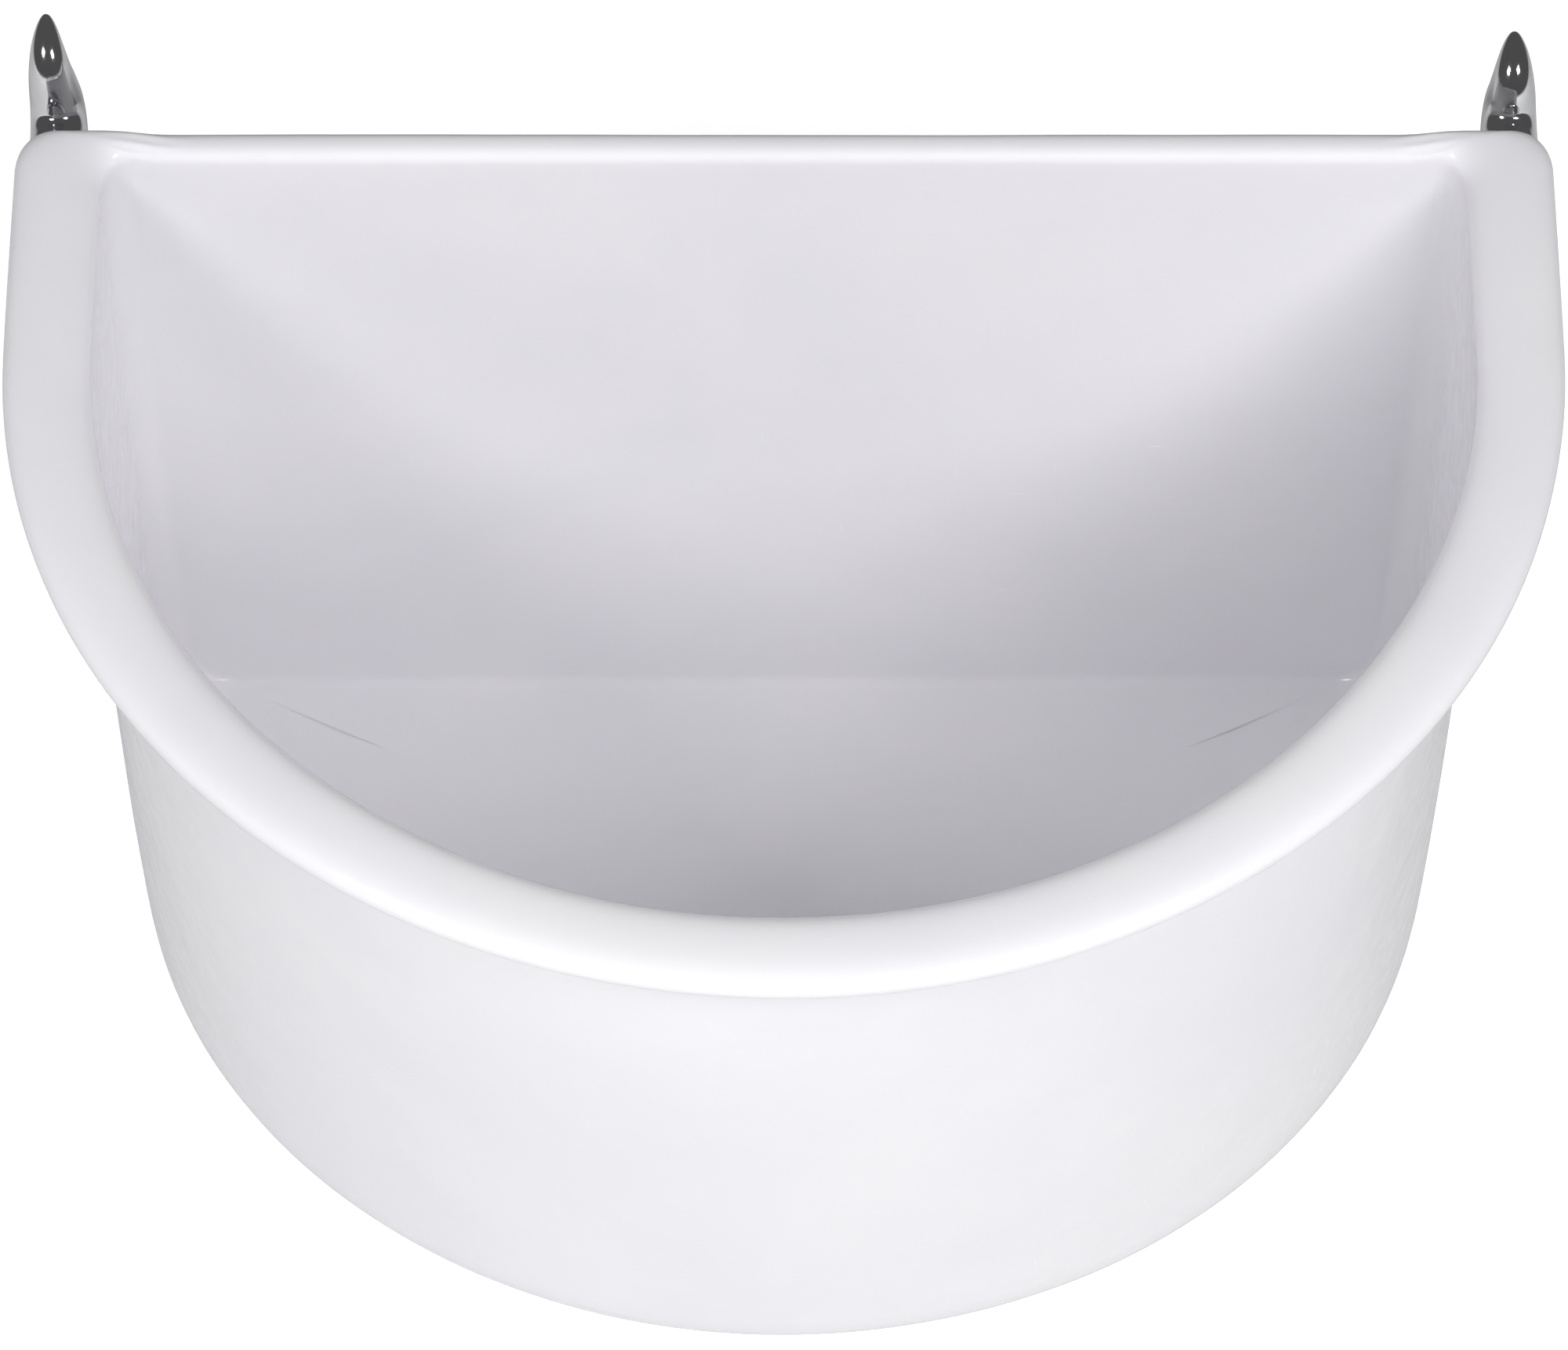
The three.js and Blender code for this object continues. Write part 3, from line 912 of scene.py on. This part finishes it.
# %% Polished steel
def polished_steel():
    material, tree, shader = new_finish("polished steel", (0.8, 0.805, 0.82), Metallic=1.0)
    place = object_place(tree)
    cloud = pattern(tree, MOTTLE, place, Scale=70.0)
    scuffs = pattern(tree, SCUFFS, place, Scale=110.0, Patch_Scale=60.0)
    color = two_tone(tree, cloud, (0.76, 0.765, 0.785), (0.84, 0.845, 0.855))
    tree.links.new(color, shader.inputs["Base Color"])
    gloss = plus(tree, ramp(tree, cloud, 0, 1, 0.05, 0.1), times(tree, scuffs, 0.12))
    tree.links.new(gloss, shader.inputs["Roughness"])
    hollows = add_node(tree, "ShaderNodeTexNoise", {"Vector": place}, Scale=90.0, Detail=1.0)
    forged = bump(tree, hollows.outputs["Fac"], 0.12 * MM)
    normal = bump(tree, times(tree, scuffs, -1.0), 0.01 * MM, forged)
    tree.links.new(normal, shader.inputs["Normal"])
    return material


paint(polished_steel(), pieces_by_finish["polished_steel"])

# %% [markdown]
# ## Zinc plate
#
# Bright zinc plate on a nut or a washer is satin and faintly crystalline, with bluish and
# yellowish patches from its passivating bath. Voronoi cells give the crystals, and the mottle
# gives the patches.

# %% Zinc plate
def zinc_plate():
    material, tree, shader = new_finish("zinc plate", (0.66, 0.68, 0.7), Metallic=1.0)
    place = object_place(tree)
    patches = pattern(tree, MOTTLE, place, Scale=180.0)
    scuffs = pattern(tree, SCUFFS, place, Scale=160.0, Patch_Scale=120.0)
    crystals = add_node(tree, "ShaderNodeTexVoronoi", {"Vector": place}, Scale=1400.0)
    color = two_tone(tree, patches, (0.6, 0.64, 0.7), (0.72, 0.71, 0.66))
    tree.links.new(color, shader.inputs["Base Color"])
    gloss = plus(tree, ramp(tree, crystals.outputs["Distance"], 0, 0.8, 0.26, 0.38),
                 times(tree, scuffs, 0.15))
    tree.links.new(gloss, shader.inputs["Roughness"])
    grain = bump(tree, crystals.outputs["Distance"], 0.015 * MM)
    normal = bump(tree, times(tree, scuffs, -1.0), 0.02 * MM, grain)
    tree.links.new(normal, shader.inputs["Normal"])
    return material


paint(zinc_plate(), pieces_by_finish["zinc_plated_steel"])

# %% [markdown]
# ## Blue nylon
#
# The rings in the lock nuts are plain moulded nylon, which is a touch translucent and more matt
# where the tool was eroded. It shows as a thin blue circle round the end of each shank.

# %% Blue nylon
def blue_nylon():
    material, tree, shader = new_finish("blue nylon", (0.03, 0.11, 0.42), IOR=1.53,
                                        Subsurface_Weight=0.08, Subsurface_Scale=1 * MM)
    place = object_place(tree)
    cloud = pattern(tree, MOTTLE, place, Scale=400.0)
    color = two_tone(tree, cloud, (0.022, 0.09, 0.36), (0.04, 0.13, 0.47))
    tree.links.new(color, shader.inputs["Base Color"])
    tree.links.new(ramp(tree, cloud, 0, 1, 0.4, 0.55), shader.inputs["Roughness"])
    grain = add_node(tree, "ShaderNodeTexNoise", {"Vector": place}, Scale=2600.0, Detail=2.0)
    tree.links.new(bump(tree, grain.outputs["Fac"], 0.02 * MM), shader.inputs["Normal"])
    return material


paint(blue_nylon(), pieces_by_finish["blue_nylon"])

# %% [markdown]
# ## Floor
#
# The bucket stands on a wide sheet of pale studio paper, which throws light back up under the rim.
# The paper also glows, but only for the camera, so that it looks white and shadows on it stay faint
# without lighting the bucket from below. It is stage, not part of the object.

# %% Floor
FLOOR_SIDE = 8
FLOOR_DROP = 0.5 * MM
FLOOR_GLOW = 0.7


def studio_floor():
    floor = primitive("studio_floor", bpy.ops.mesh.primitive_plane_add, size=FLOOR_SIDE,
                      location=(0, 0, -FLOOR_DROP))
    material, tree, shader = new_finish("studio floor paper", (0.78, 0.78, 0.78),
                                        Specular_IOR_Level=0.1)
    place = object_place(tree)
    cloud = pattern(tree, MOTTLE, place, Scale=1.5)
    color = two_tone(tree, cloud, (0.77, 0.77, 0.775), (0.79, 0.79, 0.79))
    tree.links.new(color, shader.inputs["Base Color"])
    tree.links.new(ramp(tree, cloud, 0, 1, 0.7, 0.85), shader.inputs["Roughness"])
    shader.inputs["Emission Color"].default_value = (1, 1, 1, 1)
    rays = add_node(tree, "ShaderNodeLightPath")
    glow = times(tree, rays.outputs["Is Camera Ray"], FLOOR_GLOW)
    tree.links.new(glow, shader.inputs["Emission Strength"])
    paint(material, [floor])
    floor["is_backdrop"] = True


studio_floor()

# %% [markdown]
# ## Camera
#
# The camera looks down into the bucket from in front, along a line half way between level and
# plumb, through a long lens. Its place is given by the middle of the back wall's upper edge: how
# far away that point is and how steeply it is seen. The lens then points a little lower, so that
# the whole bucket is in the frame.

# %% Camera
SIGHT_POINT = Vector((0, BACK_INNER, EDGE))
SIGHT_DISTANCE = 2.4456
SIGHT_PITCH = math.radians(50)
AIM_PITCH = math.radians(53.12)
LENS = 216

bpy.ops.object.camera_add(
    location=SIGHT_POINT + SIGHT_DISTANCE * Vector((0, -math.cos(SIGHT_PITCH),
                                                    math.sin(SIGHT_PITCH))),
    rotation=(math.pi / 2 - AIM_PITCH, 0, 0))
camera = bpy.context.object
camera.data.lens = LENS
bpy.context.scene.camera = camera

# %% [markdown]
# ## Light
#
# The key light is a big softbox in front, a little to the right, so the right cheek shades the low
# right part of the hollow. Two small softboxes, one on each side, draw a soft streak on each side
# of the rim's front. The big lights are so diffused that gloss doesn't show them. Polished steel
# needs something dark to mirror between the softboxes, so gloss sees a dim room.

# %% Softboxes
LIGHT_DISTANCE = 2.2
LIGHT_TARGET = Vector((0, 0, 0.15))
SMALL_BOX = 0.5
LARGE_BOX = 1.0


def softbox(name, azimuth, elevation, side, power):
    """A square area light round the bucket: azimuth 0 is straight in front and 90 on the right."""
    around, up = math.radians(azimuth), math.radians(elevation)
    away = Vector((math.sin(around) * math.cos(up), -math.cos(around) * math.cos(up),
                   math.sin(up)))
    bpy.ops.object.light_add(type="AREA", location=LIGHT_TARGET + LIGHT_DISTANCE * away,
                             rotation=away.to_track_quat("Z", "Y").to_euler())
    light = bpy.context.object
    light.name = light.data.name = name
    light.data.size = side
    light.data.energy = power


softbox("right softbox", 44, 45, SMALL_BOX, 10)
softbox("left softbox", -44, 45, SMALL_BOX, 12)
for name, azimuth, elevation, power in (("key softbox", 16, 42, 23), ("top softbox", 0, 70, 1.5),
                                        ("low left softbox", -75, 20, 8),
                                        ("low right softbox", 80, 20, 4)):
    softbox(name, azimuth, elevation, LARGE_BOX, power)
    bpy.context.object.visible_glossy = False

# %% Room light
ROOM_LIGHT = 0.12
ROOM_GLOSS = 0.08


def light_the_room():
    world = bpy.data.worlds.new("studio room")
    bpy.context.scene.world = world
    world.use_nodes = True
    tree = world.node_tree
    room = tree.nodes["Background"]
    room.inputs["Color"].default_value = (1, 0.99, 1, 1)
    rays = add_node(tree, "ShaderNodeLightPath")
    strength = ramp(tree, rays.outputs["Is Glossy Ray"], 0, 1, ROOM_LIGHT, ROOM_GLOSS)
    tree.links.new(strength, room.inputs["Strength"])
    bpy.context.scene.view_settings.view_transform = "Standard"


light_the_room()

# %% [markdown]
# ## Check and finish
#
# The finished bucket must fill the same box as the frame it was modelled on, so both boxes are
# written down side by side.

# %% Compare the boxes and finish
VISUAL_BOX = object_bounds()
for label, corners in (("frame", CAD_BOX), ("bucket", VISUAL_BOX)):
    print(label, [round(value / MM, 2) for corner in corners for value in corner], "mm")
